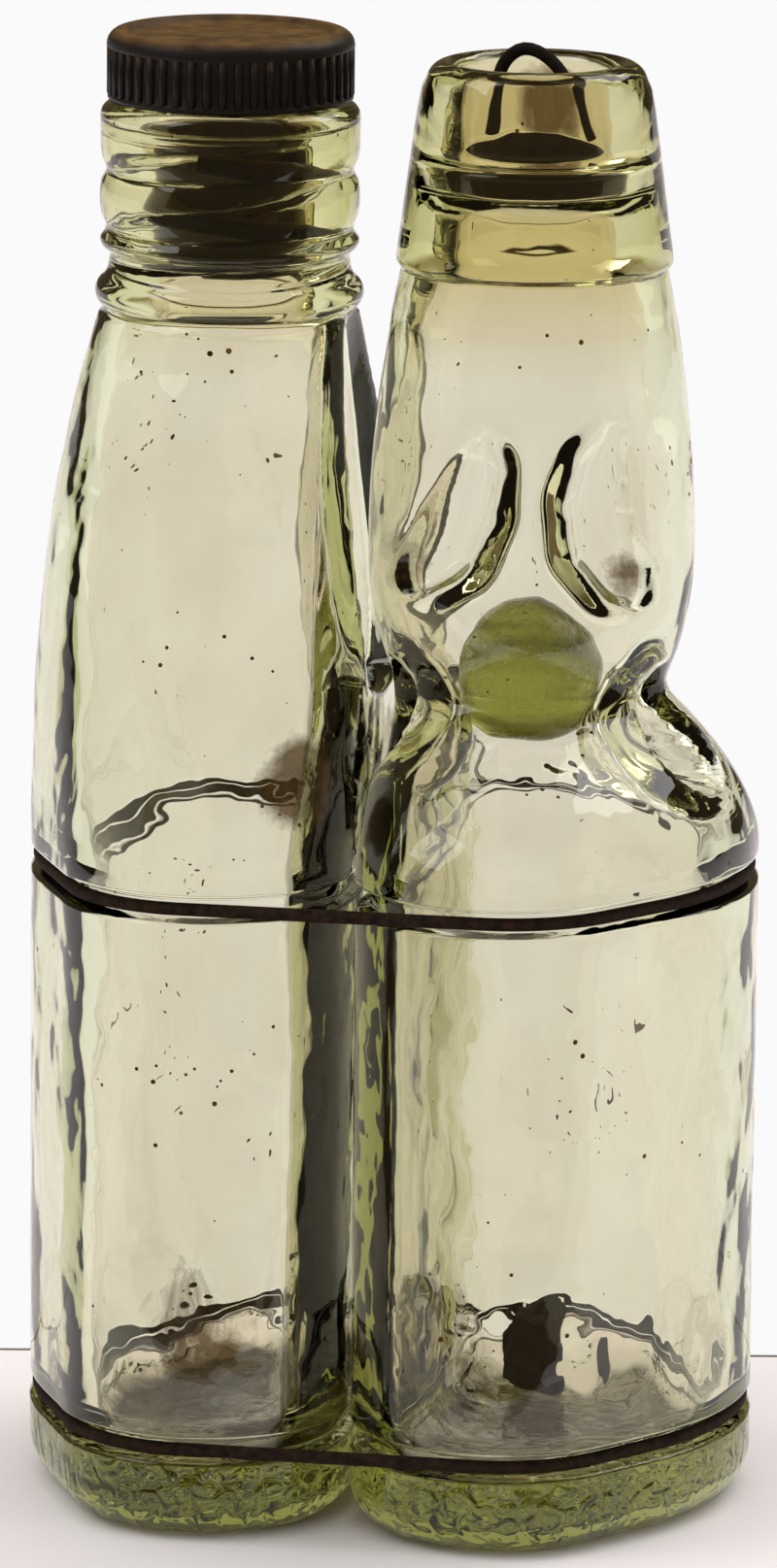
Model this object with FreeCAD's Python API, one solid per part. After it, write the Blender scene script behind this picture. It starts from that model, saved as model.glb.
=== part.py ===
import FreeCAD, Part
import math
import os
from collections import namedtuple
from FreeCAD import Vector

# A twin bottle: two D-shaped glass halves stand flat to flat and two wires bind them.
# One half is closed by a screw stopper, the other by a marble that seals against a ring.
# X runs along the pair, Y is the depth, Z is up, all in millimetres.

# Plan of the pair
screw_width = 39.5        # seam to outer end of the screw half
ball_width = 41.5         # seam to outer end of the ball half
depth = 67.0              # the outer ends are arcs of half this radius
corner_radius = 16.5      # plan corners beside the seam
seam_gap = 0.3            # air between the two flats
screw_neck_x = 18.0       # seam to neck axis
ball_neck_x = 16.0

# Body
body_height = 73.5        # where the shoulders start
floor_height = 7.0        # inside floor
heel_radius = 5.0
floor_radius = 6.0        # inside floor corner
push_up = 1.5             # hollow under the base
foot_width = 8.5          # outer wall to the hollow, so the flat rim is what the heel leaves of it
push_up_slope = 4.0       # width of the slope into the hollow
wall = 4.2                # glass of body and shoulders

# Shoulder and neck of the screw half, from the shoulder up
screw_shoulder_rise = 58.0
screw_neck_length = 23.0  # collar to lip
screw_lip_length = 16.5
screw_collar_radius = 14.3
screw_lip_radius = 14.3
lip_rounding = 1.5
bead_radius = 14.8        # ring under the lip
bead_rise = 2.1           # collar to the middle of the ring
bead_size = 2.0           # radius of the bead's section
lip_groove_drops = (13.9, 7.5)
lip_groove_depth = 0.7
lip_groove_radius = 1.7

# Shoulder and neck of the ball half, from the shoulder up
ball_shoulder_rise = 17.0
waist_radius = 14.3
waist_to_bulge = 15.5
bulge_radius = 18.0
bulge_to_skirt = 31.6
ball_collar_radius = 14.3
skirt_radius = 15.2
ball_lip_length = 22.5
ball_lip_radius = 12.1
ball_lip_rounding = 2.4
skirt_rounding = 0.8
mouth_radius = 8.6
mouth_rounding = 1.5
neck_wall = 3.6
nest_gap = 2.8            # air round the ball neck, where the screw half is hollowed for it
neck_overlap = 1.2        # neck glass runs this far into the lip and into the shoulder

# Pinches that carry the marble and lugs that catch it when the bottle is tipped
pinch_front = -82.5       # direction of the middle between the pinches, degrees from X
pinch_spread = 66.0
pinch_drop = 6.5          # below the waist
pinch_radius = 8.6
pinch_half_length = 1.0   # the dents are capsules: half of the straight part
pinch_depth_radius = 10.9  # neck axis to the bottom of the dent
lug_spread = 41.0
lug_rise = 15.3           # above the waist
lug_radius = 4.6
lug_half_length = 4.0
lug_tilt = 24.0           # lugs lean outwards at their lower ends
lug_depth_radius = 13.8

# Marble and sealing ring
marble_radius = 8.3
marble_gap = 0.3
marble_bands = 13
marble_panels = 28
ring_drop = 14.5          # top of the lip to the foot of the ring
ring_height = 3.8
ring_groove_radius = 10.2
ring_inner_radius = 7.2
ring_gap = 0.05
ring_bevel = 0.9
marble_bore_radius = 8.9

# Screw stopper, whose thread is shown as a plain shank
thread_radius = 9.0
thread_gap = 0.4
thread_length = 15.0
shank_radius = 8.0        # plain part between thread and head
shank_length = 19.2
head_gap = 0.3            # lip to underside of the head
head_radius = 13.6
head_height = 7.7
head_rounding = 1.7
dish_radius = 11.2
dish_depth = 0.8
knurl_count = 48
knurl_depth = 0.5
knurl_width = 1.0
knurl_height = 5.3
knurl_bottom = 0.7
washer_thickness = 2.7
washer_width = 1.9
washer_gap = 0.3          # washer to shank, wall and seat

# Binding wires and the bent wire in the mouth
upper_wire_drop = 2.6     # below the shoulder
lower_wire_height = 10.4
wire_radius = 0.65
wire_gap = 0.1
wire_groove_depth = 1.85
wire_groove_height = 3.0
loop_wire_radius = 0.75
loop_half_width = 6.2
loop_inset = 1.2          # each leg leans in by this much
loop_back = 4.2           # neck axis to the wire
loop_rise = 0.9           # top of the bend above the lip
loop_drop = 2.5           # shoulders of the bend below its top
loop_crown_x = 2.4
loop_bend = 2.0

# Loose stub of old cork on the floor of the ball half
cork_radius = 5.0
cork_top_radius = 4.5
cork_height = 8.2
cork_gap = 0.3            # to the rounded corner of the floor

least_share = 0.02        # a plan this near to a circle is taken as one
clear = 2.0               # how far a cutting tool reaches past what it cuts
panel_turn = 15.0         # the blown skins are flat panels: degrees from one to the next in plan
neck_panels = 36
dent_panels = 20
wire_sides = 8

screw_collar_height = body_height + screw_shoulder_rise
screw_lip_height = screw_collar_height + screw_neck_length
waist_height = body_height + ball_shoulder_rise
bulge_height = waist_height + waist_to_bulge
skirt_height = bulge_height + bulge_to_skirt
ball_lip_height = skirt_height + ball_lip_length
ring_bottom = ball_lip_height - ring_drop
upper_wire_height = body_height - upper_wire_drop

Half = namedtuple("Half", "side width neck_x")
screw_half = Half(-1, screw_width, screw_neck_x)
ball_half = Half(1, ball_width, ball_neck_x)
seam_x = (screw_width - ball_width) / 2
up = Vector(0, 0, 1)


def plan_circles(half):
    # End circle and the two corner circles whose hull is the plan of one half, anticlockwise;
    # a corner is limited by the width that it rounds.
    end_radius = depth / 2
    radius = min(corner_radius, 0.45 * half.width)
    corner_y = end_radius - radius
    return [
        (half.width - end_radius, 0.0, end_radius),
        (radius, corner_y, radius),
        (radius, -corner_y, radius),
    ]


def panel_angles(start, end):
    # Both ends of an arc and each whole panel turn between them, so that a skin keeps its full width and depth.
    step = math.radians(panel_turn)
    angles = [start]
    for k in range(math.ceil(start / step - 0.01), math.floor(end / step + 0.01) + 1):
        if start + 0.01 < k * step < end - 0.01:
            angles.append(k * step)
    return angles + [end]


def hull_ring(circles, inset, z):
    # Corners of a closed ring round some circles, moved inwards by inset: chords round each arc.
    count = len(circles)
    normals = []
    for i in range(count):
        x0, y0, r0 = circles[i]
        x1, y1, r1 = circles[(i + 1) % count]
        along = math.atan2(y1 - y0, x1 - x0)
        tilt = math.asin((r0 - r1) / math.hypot(x1 - x0, y1 - y0))
        normals.append(along - math.pi / 2 + tilt)
    points = []
    for i in range(count):
        x, y, r = circles[i]
        start = normals[i - 1]
        end = normals[i]
        while end < start:
            end += 2 * math.pi
        for angle in panel_angles(start, end):
            points.append(Vector(x + (r - inset) * math.cos(angle), y + (r - inset) * math.sin(angle), z))
    return points


def round_ring(radius, z, panels):
    # Corners of a regular ring round the Z axis.
    points = []
    for i in range(panels):
        angle = 2 * math.pi * i / panels
        points.append(Vector(radius * math.cos(angle), radius * math.sin(angle), z))
    return points


def polygon(points):
    return Part.Face(Part.makePolygon(points + points[:1]))


def section(half, inset, radius, share, z):
    # Ring between the D of the body at share 1 and a circle round the neck axis at share 0;
    # radius is how far it reaches from the neck axis towards the outer end.
    round_part = (radius - share * (half.width - half.neck_x)) / (1 - share)
    circles = []
    for x, y, r in plan_circles(half):
        circles.append((
            share * x + (1 - share) * half.neck_x,
            share * y,
            share * r + (1 - share) * round_part,
        ))
    return hull_ring(circles, inset, z)


def placed(shape, half):
    # Moves a solid made on the +X side to the side of its half.
    if half.side < 0:
        return shape.mirror(Vector(0, 0, 0), Vector(1, 0, 0))
    return shape


def solid_of(shape):
    # Outward-facing single solid.
    solid = shape.Solids[0]
    if solid.Volume < 0:
        solid.reverse()
    return solid


def panelled(rings, closed=False):
    # Solid of flat panels between rings with the same number of corners and parallel sides.
    faces = []
    if closed:
        rings = rings + rings[:1]
    else:
        faces = [polygon(rings[0]), polygon(rings[-1])]
    for low, high in zip(rings, rings[1:]):
        for i in range(len(low)):
            faces.append(polygon([low[i - 1], low[i], high[i], high[i - 1]]))
    return solid_of(Part.Solid(Part.Shell(faces)))


def body(half, inset, bottom, rounding):
    # Straight D-shaped part from bottom to the start of the shoulder, rounded at its foot.
    rings = []
    for x, z in arc_points(0, bottom + rounding, rounding, -90, 0, 3):
        rings.append(hull_ring(plan_circles(half), inset + rounding - x, z))
    return panelled(rings + [hull_ring(plan_circles(half), inset, body_height)])


def screw_shoulder(inset):
    # Long sloping shoulder of the screw half, up into the bead under the lip.
    half = screw_half
    end = half.width - half.neck_x
    sections = [hull_ring(plan_circles(half), inset, body_height)]
    for t in (0.06, 0.16, 0.34, 0.56, 0.78, 1.0):
        z = body_height + t * screw_shoulder_rise
        radius = end - (end - screw_collar_radius) * t ** 2.6
        share = max((1 - t) ** 1.8 + 0.09 * t * (1 - t), least_share)
        sections.append(section(half, inset, radius, share, z))
    return panelled(sections)


def ball_shoulder(inset):
    # Short domed shoulder of the ball half; it ends inside the foot of the neck barrel.
    half = ball_half
    end = half.width - half.neck_x
    top_radius = waist_radius - neck_overlap / 4
    sections = [hull_ring(plan_circles(half), inset, body_height)]
    for t in (0.12, 0.32, 0.54, 0.77, 1.0):
        z = body_height + t * (ball_shoulder_rise + neck_overlap)
        share = max(1 - t ** 1.7, least_share)
        sections.append(section(half, inset, top_radius + (end - top_radius) * share, share, z))
    return panelled(sections)


def arc_points(x, z, radius, start, end, steps):
    # Corners of a polyline round an arc of a turned profile, from one angle to another in degrees.
    points = []
    for i in range(steps + 1):
        angle = math.radians(start + (end - start) * i / steps)
        points.append((x + radius * math.cos(angle), z + radius * math.sin(angle)))
    return points


def bulge_points(end_radius, end_height, growth, steps):
    # From upright at the bulge, bending in to a smaller radius at its end.
    fall = bulge_radius - end_radius
    run = end_height - bulge_height
    bend = (fall ** 2 + run ** 2) / (2 * fall)
    turn = math.degrees(math.asin(run / bend))
    return arc_points(bulge_radius - bend, bulge_height, bend + growth, 0, turn, steps)


def turned(points, x):
    # Solid turned from a polyline of radius and height pairs.
    wire = Part.makePolygon([Vector(r, 0, z) for r, z in points + points[:1]])
    solid = solid_of(Part.Face(wire).revolve(Vector(0, 0, 0), up, 360))
    solid.translate(Vector(x, 0, 0))
    return solid


def neck_barrel(growth):
    # Barrel-shaped neck of the ball half, from inside the shoulder up into the lip, grown or shrunk by a margin.
    lower = bulge_points(waist_radius, waist_height, growth, 4)
    upper = bulge_points(ball_collar_radius, skirt_height + neck_overlap, growth, 4)
    foot = (lower[-1][0], lower[-1][1] - 2 * neck_overlap)
    solid = panelled([round_ring(radius, z, neck_panels) for radius, z in [foot] + lower[::-1] + upper[1:]])
    solid.translate(Vector(ball_neck_x, 0, 0))
    return solid


def seam_slab(reach, side, bottom, top):
    # Block that trims a half to within reach of the seam plane.
    block = Part.makeBox(2 * depth, 2 * depth, top - bottom)
    block.translate(Vector(side * reach - depth - side * depth, -depth, bottom))
    return block


def foot_hollow(half):
    # Shallow hollow under the base, inside the flat rim.
    circles = plan_circles(half)
    return panelled([hull_ring(circles, foot_width, 0), hull_ring(circles, foot_width + push_up_slope, push_up)])


def disc(radius, bottom, top, x):
    return Part.makeCylinder(radius, top - bottom, Vector(x, 0, bottom), up)


def binding_path(inset, z):
    # Plan hull of both halves together, as a taut wire takes it.
    end, back, front = plan_circles(ball_half)
    far_end, far_back, far_front = [(-x, y, r) for x, y, r in plan_circles(screw_half)]
    return hull_ring([end, back, far_back, far_end, far_front, front], inset, z)


def bar(points, normal, radius, closed):
    # Bar along straight runs in one plane, mitred where they meet; normal is the plane's.
    rings = []
    for i, point in enumerate(points):
        before = points[i - 1] if closed or i > 0 else point
        after = points[(i + 1) % len(points)] if closed or i + 1 < len(points) else point
        into = ((point - before) if before != point else (after - point)).normalize()
        out = ((after - point) if after != point else (point - before)).normalize()
        across = normal.cross(into + out).normalize() / math.cos(into.getAngle(out) / 2)
        ring = []
        for k in range(wire_sides):
            angle = 2 * math.pi * (k + 0.5) / wire_sides
            ring.append(point + across * (radius * math.cos(angle)) + normal * (radius * math.sin(angle)))
        rings.append(ring)
    return panelled(rings, closed)


def wire_grooves():
    # Bands cut round both halves, deep enough for a wire and a little air.
    grooves = []
    for z in (upper_wire_height, lower_wire_height):
        bottom = z - wire_groove_height / 2
        band = polygon(binding_path(-clear, bottom)).extrude(up * wire_groove_height)
        core = polygon(binding_path(wire_groove_depth, bottom)).extrude(up * wire_groove_height)
        grooves.append(band.cut(core))
    return grooves


def binding_wire(z):
    # Sits in its groove with a little air.
    inset = wire_groove_depth - wire_gap - wire_radius
    return bar(binding_path(inset, z), up, wire_radius, True)


def screw_neck(x):
    # Bead and lip of the screw half with the lip's two grooves, turned as one.
    bead_height = screw_collar_height + bead_rise
    neck_radius = screw_collar_radius - bead_size / 2
    lip_foot = screw_lip_height - screw_lip_length
    inner = screw_lip_radius - lip_rounding
    points = [(0, screw_collar_height - clear), (neck_radius, screw_collar_height - clear)]
    points += arc_points(bead_radius - bead_size, bead_height, bead_size, -75, 75, 3)
    points += [(neck_radius, bead_height + bead_size), (neck_radius, lip_foot)]
    points += arc_points(inner, lip_foot + lip_rounding, lip_rounding, -90, 0, 2)
    half_turn = math.degrees(math.acos(1 - lip_groove_depth / lip_groove_radius))
    for drop in lip_groove_drops:
        centre = screw_lip_radius + lip_groove_radius - lip_groove_depth
        points += arc_points(centre, screw_lip_height - drop, lip_groove_radius, 180 + half_turn, 180 - half_turn, 2)
    points += arc_points(inner, screw_lip_height - lip_rounding, lip_rounding, 0, 90, 2)
    return turned(points + [(0, screw_lip_height)], x)


def glass_screw_half():
    half = screw_half
    x = half.side * half.neck_x
    outer = body(half, 0, 0, heel_radius).fuse(screw_shoulder(0))
    cavity = body(half, wall, floor_height, floor_radius).fuse(screw_shoulder(wall))
    outer = placed(outer, half).cut(neck_barrel(nest_gap))
    cavity = placed(cavity, half).cut(seam_slab(seam_gap / 2 + wall, half.side, 0, screw_lip_height))
    cavity = cavity.cut(neck_barrel(nest_gap + wall))

    seat = screw_lip_height + head_gap - washer_thickness - washer_gap
    bore = disc(thread_radius + thread_gap, screw_collar_height - clear, seat + clear, x)
    counterbore = disc(shank_radius + 2 * washer_gap + washer_width, seat, screw_lip_height + clear, x)
    glass = outer.fuse(screw_neck(x)).cut([cavity, bore, counterbore])
    glass = glass.cut(seam_slab(seam_gap / 2, half.side, -clear, screw_lip_height))
    return solid_of(glass.cut([placed(foot_hollow(half), half)] + wire_grooves()))


def dent(spread, height, radius, half_length, tilt, depth_radius, growth):
    # Capsule that dents the neck from outside; grown by the wall it shapes the inside.
    size = radius + growth
    rings = []
    for side in (-1, 1):
        for latitude in (70, 45, 20, 0)[::-side]:
            angle = math.radians(latitude)
            z = side * (half_length + size * math.sin(angle))
            rings.append(round_ring(size * math.cos(angle), z, dent_panels))
    tool = panelled(rings)
    tool.rotate(Vector(0, 0, 0), Vector(1, 0, 0), -tilt)
    tool.translate(Vector(depth_radius + radius, 0, height))
    tool.rotate(Vector(0, 0, 0), up, pinch_front + spread)
    tool.translate(Vector(ball_neck_x, 0, 0))
    return tool


def dents(growth):
    pinch_height = waist_height - pinch_drop
    lug_height = waist_height + lug_rise
    tools = []
    for sign in (-1, 1):
        tools.append(
            dent(
                sign * pinch_spread, pinch_height, pinch_radius, pinch_half_length,
                0, pinch_depth_radius, growth,
            )
        )
        tools.append(
            dent(
                sign * lug_spread, lug_height, lug_radius, lug_half_length,
                sign * lug_tilt, lug_depth_radius, growth,
            )
        )
    return tools


def ball_lip(x):
    # Conical lip with a rounded top, and a step where its skirt meets the neck.
    lean = math.degrees(math.atan2(skirt_radius - ball_lip_radius, ball_lip_length))
    top = arc_points(
        ball_lip_radius - ball_lip_rounding, ball_lip_height - ball_lip_rounding, ball_lip_rounding, lean, 90, 3
    )
    points = [(0, skirt_height), (skirt_radius - skirt_rounding, skirt_height)]
    points.append((skirt_radius, skirt_height + skirt_rounding))
    return turned(points + top + [(0, ball_lip_height)], x)


def glass_ball_half():
    half = ball_half
    x = half.neck_x
    outer = body(half, 0, 0, heel_radius).fuse([ball_shoulder(0), neck_barrel(0)])
    outer = outer.cut(dents(0))
    lower = body(half, wall, floor_height, floor_radius)
    lower = lower.cut(seam_slab(seam_gap / 2 + wall, half.side, 0, body_height))
    cavity = lower.fuse([ball_shoulder(neck_wall), neck_barrel(-neck_wall)]).cut(dents(neck_wall))

    ring_top = ring_bottom + ring_height
    edge = mouth_radius + mouth_rounding
    flare = arc_points(edge, ball_lip_height - mouth_rounding, mouth_rounding, 180, 90, 3)
    mouth = turned(
        [(0, ring_bottom), (mouth_radius, ring_bottom)] + flare
        + [(edge, ball_lip_height + clear), (0, ball_lip_height + clear)],
        x,
    )
    groove = disc(ring_groove_radius, ring_bottom, ring_top, x)
    bore = disc(marble_bore_radius, skirt_height - clear, ring_bottom, x)
    glass = outer.fuse(ball_lip(x)).cut([cavity, mouth, groove, bore])
    glass = glass.cut(seam_slab(seam_gap / 2, half.side, -clear, waist_height))
    return solid_of(glass.cut([foot_hollow(half)] + wire_grooves()))


def marble_seat_height():
    # Height at which the marble lies on the two pinches.
    bump = pinch_radius + neck_wall
    reach = pinch_depth_radius + pinch_radius
    rise = math.sqrt((marble_radius + marble_gap + bump) ** 2 - reach ** 2)
    return waist_height - pinch_drop + pinch_half_length + rise


def marble():
    # Glass ball, its poles closed by small flats.
    tilt = 180 / marble_bands / 2
    height = marble_seat_height()
    profile = arc_points(0, height, marble_radius, tilt - 90, 90 - tilt, marble_bands)
    ball = panelled([round_ring(radius, z, marble_panels) for radius, z in profile])
    ball.translate(Vector(ball_neck_x, 0, 0))
    return ball


def sealing_ring():
    outer = ring_groove_radius - ring_gap
    bottom = ring_bottom + ring_gap
    top = ring_bottom + ring_height - ring_gap
    return turned(
        [
            (ring_inner_radius + ring_bevel, bottom),
            (outer, bottom),
            (outer, top),
            (ring_inner_radius + ring_bevel, top),
            (ring_inner_radius, top - ring_bevel),
            (ring_inner_radius, bottom + ring_bevel),
        ],
        ball_neck_x,
    )


def stopper():
    # Shank, and a head with a dished top and a ribbed edge.
    x = -screw_neck_x
    underside = screw_lip_height + head_gap
    top = underside + head_height
    foot = underside - shank_length
    thread_top = foot + thread_length
    rounded = arc_points(head_radius - head_rounding, top - head_rounding, head_rounding, 0, 90, 2)
    solid = turned(
        [(0, foot), (thread_radius, foot), (thread_radius, thread_top), (shank_radius, thread_top)]
        + [(shank_radius, underside), (head_radius, underside)] + rounded
        + [(dish_radius, top), (dish_radius, top - dish_depth), (0, top - dish_depth)],
        x,
    )
    bottom = underside + knurl_bottom
    notch = Part.Face(Part.makePolygon([
        Vector(head_radius - knurl_depth, 0, bottom),
        Vector(head_radius + knurl_depth, -knurl_width, bottom),
        Vector(head_radius + knurl_depth, knurl_width, bottom),
        Vector(head_radius - knurl_depth, 0, bottom),
    ])).extrude(up * knurl_height)
    notches = []
    for i in range(knurl_count):
        cut = notch.copy()
        cut.rotate(Vector(0, 0, 0), up, 360 * i / knurl_count)
        cut.translate(Vector(x, 0, 0))
        notches.append(cut)
    return solid_of(solid.cut(notches))


def stopper_washer():
    x = -screw_neck_x
    top = screw_lip_height + head_gap
    inner = shank_radius + washer_gap
    washer = disc(inner + washer_width, top - washer_thickness, top, x)
    return solid_of(washer.cut(disc(inner, top - washer_thickness - clear, top + clear, x)))


def rounded_path(points, radius):
    # Straight runs with three chords round each corner's arc.
    path = points[:1]
    for before, corner, after in zip(points, points[1:], points[2:]):
        into = (corner - before).normalize()
        out = (after - corner).normalize()
        turn = into.getAngle(out)
        trim = radius * math.tan(turn / 2)
        centre = corner + (out - into).normalize() * math.hypot(radius, trim)
        spoke = corner - into * trim - centre
        for k in range(4):
            angle = turn * k / 3
            path.append(centre + spoke * math.cos(angle) + into * (radius * math.sin(angle)))
    return path + points[-1:]


def mouth_wire():
    # Bent wire that stands on the sealing ring inside the mouth.
    foot = ring_bottom + ring_height + loop_wire_radius
    crown = ball_lip_height + loop_rise
    points = [
        Vector(-loop_half_width, loop_back, foot),
        Vector(loop_inset - loop_half_width, loop_back, crown - loop_drop),
        Vector(-loop_crown_x, loop_back, crown),
        Vector(loop_crown_x - loop_inset / 2, loop_back, crown - loop_drop),
        Vector(loop_half_width, loop_back, foot),
    ]
    loop = bar(rounded_path(points, loop_bend), Vector(0, 1, 0), loop_wire_radius, False)
    loop.translate(Vector(ball_neck_x, 0, 0))
    return loop


def loose_cork():
    y = depth / 2 - wall - floor_radius - cork_gap - cork_radius
    stub = panelled([round_ring(cork_radius, 0, neck_panels), round_ring(cork_top_radius, cork_height, neck_panels)])
    stub.translate(Vector(ball_neck_x, y, floor_height))
    return stub


def export(name, shape):
    shape = shape.copy()
    shape.translate(Vector(seam_x, 0, 0))
    shape.exportStep(os.path.join("parts", name + ".step"))
    print(name, "solids", len(shape.Solids), "valid", shape.isValid(), "volume", round(shape.Volume, 1))


os.makedirs("parts", exist_ok=True)
export("screw_half", glass_screw_half())
export("ball_half", glass_ball_half())
export("screw_stopper", stopper())
export("stopper_washer", stopper_washer())
export("marble", marble())
export("sealing_ring", sealing_ring())
export("mouth_wire", mouth_wire())
export("upper_wire", binding_wire(upper_wire_height))
export("lower_wire", binding_wire(lower_wire_height))
export("loose_cork", loose_cork())
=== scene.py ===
import math
import bmesh
import bpy
import numpy as np
from mathutils import Matrix, Vector


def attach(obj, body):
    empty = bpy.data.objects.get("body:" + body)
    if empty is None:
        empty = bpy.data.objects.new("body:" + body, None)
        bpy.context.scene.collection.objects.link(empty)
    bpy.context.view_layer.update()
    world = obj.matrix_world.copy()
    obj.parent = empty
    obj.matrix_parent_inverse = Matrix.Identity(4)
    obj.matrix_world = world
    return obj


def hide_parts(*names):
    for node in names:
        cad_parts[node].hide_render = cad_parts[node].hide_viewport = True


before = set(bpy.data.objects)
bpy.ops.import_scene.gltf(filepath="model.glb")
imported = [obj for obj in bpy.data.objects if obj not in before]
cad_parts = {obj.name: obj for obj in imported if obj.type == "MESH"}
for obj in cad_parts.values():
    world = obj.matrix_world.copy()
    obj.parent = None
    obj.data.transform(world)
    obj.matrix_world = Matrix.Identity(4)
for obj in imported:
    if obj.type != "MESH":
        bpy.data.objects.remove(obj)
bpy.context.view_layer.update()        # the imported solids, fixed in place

mm = 0.001               # lengths are written in mm; pattern scales count cells to the metre (420 = 2.4 mm)
seamX = -1.0             # mm, where the two flats meet in this frame


def srgb(text, alpha=1.0):
    # hex colour to linear
    values = []
    for i in (0, 2, 4):
        c = int(text[i:i + 2], 16) / 255
        values.append(c / 12.92 if c <= 0.04045 else ((c + 0.055) / 1.055) ** 2.4)
    return (*values, alpha)


def addNode(tree, kind, inputs=None, **settings):
    # one node with its settings, values and links; a node given as a value stands for its first output
    node = tree.nodes.new(kind)
    for name, value in settings.items():
        setattr(node, name, value)
    for key, value in (inputs or {}).items():
        value = value.outputs[0] if isinstance(value, bpy.types.Node) else value
        if isinstance(value, bpy.types.NodeSocket):
            tree.links.new(value, node.inputs[key])
        else:
            node.inputs[key].default_value = value
    return node


def newMaterial(name):
    material = bpy.data.materials.new(name)
    material.use_nodes = True
    material.node_tree.nodes.clear()
    return material, material.node_tree


def addObject(name, data):
    obj = bpy.data.objects.new(name, data)
    bpy.context.scene.collection.objects.link(obj)
    return obj


def meshObject(name, vertices, faces, material, smooth=True):
    mesh = bpy.data.meshes.new(name)
    mesh.from_pydata([tuple(v) for v in vertices], [], [tuple(f) for f in faces])
    if smooth:
        mesh.polygons.foreach_set("use_smooth", [True] * len(mesh.polygons))
    mesh.update()
    mesh.materials.append(material)
    return addObject(name, mesh)


def softBlob(tree, where, place, size, inner=0.3):
    # 1 near a point of the object, falling to 0 at size (mm)
    away = addNode(tree, "ShaderNodeVectorMath", {0: where, 1: [v * mm for v in place]},
        operation="DISTANCE")
    return addNode(tree, "ShaderNodeMapRange", {"Value": away.outputs["Value"],
        "From Min": size * inner * mm, "From Max": size * mm, "To Min": 1.0, "To Max": 0.0},
        interpolation_type="SMOOTHSTEP").outputs[0]


glassLook = {
    "absorb": (0.69, 0.7, 0.36), "density": 80.0,       # clear bottle green, olive in the long paths
    "waveScale": 110.0, "waveDepth": 0.0011,            # mould and cooling waves about 9 mm apart
    "heelScale": 420.0, "heelDepth": 0.0009,            # crackle of about 2.4 mm where the base chilled
    "speckScale": 420.0,                                # brown specks, at most one in 2.4 mm
}

# Brown bloom inside the bottle: place and reach in mm, and how strong it is.
innerStains = [
    ((-6.0, -21.0, 83.0), 9.0, 1.0), ((-21.0, 14.0, 8.0), 21.0, 1.0), ((-24.0, 0.0, 6.5), 19.0, 0.9),
    ((-9.0, -15.0, 7.0), 12.0, 0.9), ((17.0, 4.0, 6.5), 25.0, 0.75), ((2.0, -9.0, 106.0), 7.5, 0.6),
    ((27.5, -9.0, 105.0), 7.0, 0.8), ((6.0, -9.0, 88.0), 6.5, 0.6), ((24.0, -8.5, 86.0), 6.0, 0.4),
    ((15.0, 9.0, 153.0), 8.5, 0.95), ((15.0, -8.0, 147.0), 6.0, 0.35), ((3.0, -2.0, 109.0), 5.0, 0.9),
]


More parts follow.
